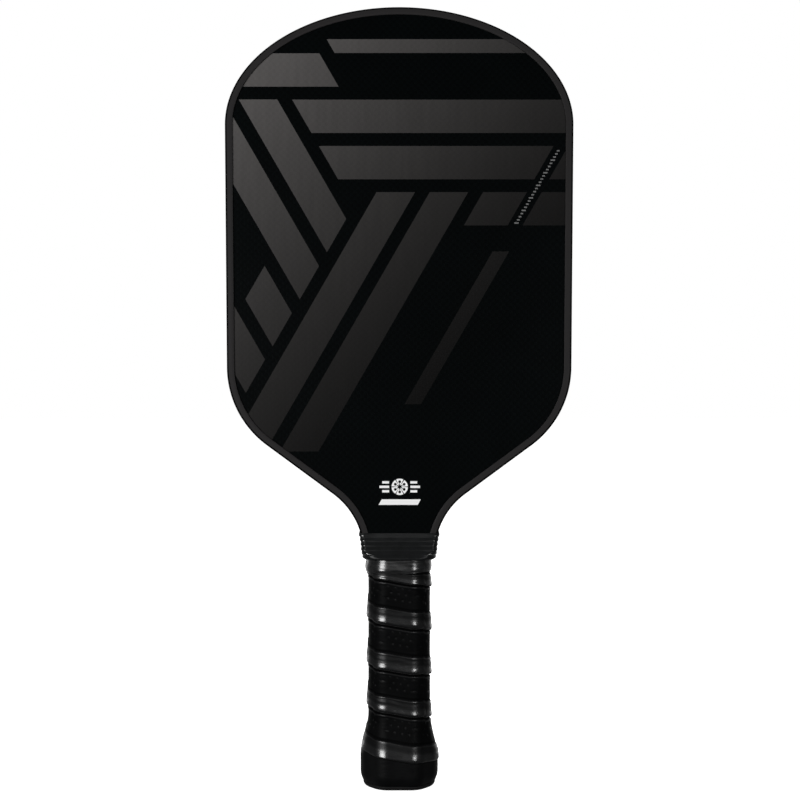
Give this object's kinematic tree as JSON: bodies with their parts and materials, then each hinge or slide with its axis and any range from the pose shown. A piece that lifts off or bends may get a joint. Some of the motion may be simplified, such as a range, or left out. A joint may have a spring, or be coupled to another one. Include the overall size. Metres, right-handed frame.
{
  "type": "pickleball paddle",
  "caption": "Wide-bodied court paddle: carbon-faced honeycomb panel in a slim edge guard, with a short octagonal handle under a spiral cushion grip and ribbed collar.",
  "frame": {"origin": "middle of the flat end of the butt, where the paddle stands upright", "axes": "+Z along the handle to the top of the head, +X across the head, +Y through its thickness to the back face; the front face looks along -Y"},
  "size_m": [0.1874, 0.0362, 0.4191],
  "materials": {
    "carbon_face": "peel-ply carbon laminate, satin black, printed bands in greys",
    "scrim_film": "clear-set bonding film",
    "honeycomb": "natural polypropylene honeycomb",
    "rim_foam": "moulded rim foam",
    "guard_plastic": "satin thermoplastic edge guard",
    "shell_foam": "rigid moulded handle foam",
    "cap_plastic": "fine-textured moulded plastic",
    "badge_film": "blank domed badge",
    "staple_wire": "zinc-plated wire",
    "grip_cushion": "tacky perforated cushion grip wrap",
    "tape": "glossy finishing tape",
    "collar_rubber": "ribbed moulded rubber"
  },
  "bodies": {
    "root": {"front_face_sheet": "carbon_face", "back_face_sheet": "carbon_face", "front_scrim_film": "scrim_film", "back_scrim_film": "scrim_film", "honeycomb_core": "honeycomb", "perimeter_foam": "rim_foam", "tang_insert": "rim_foam", "edge_guard": "guard_plastic", "front_handle_shell": "shell_foam", "back_handle_shell": "shell_foam", "butt_cap": "cap_plastic", "butt_badge": "badge_film", "butt_staple_left": "staple_wire", "butt_staple_right": "staple_wire", "grip_start_staple": "staple_wire", "cushion_grip": "grip_cushion", "finishing_tape": "tape", "grip_collar": "collar_rubber"}
  },
  "joints": []
}
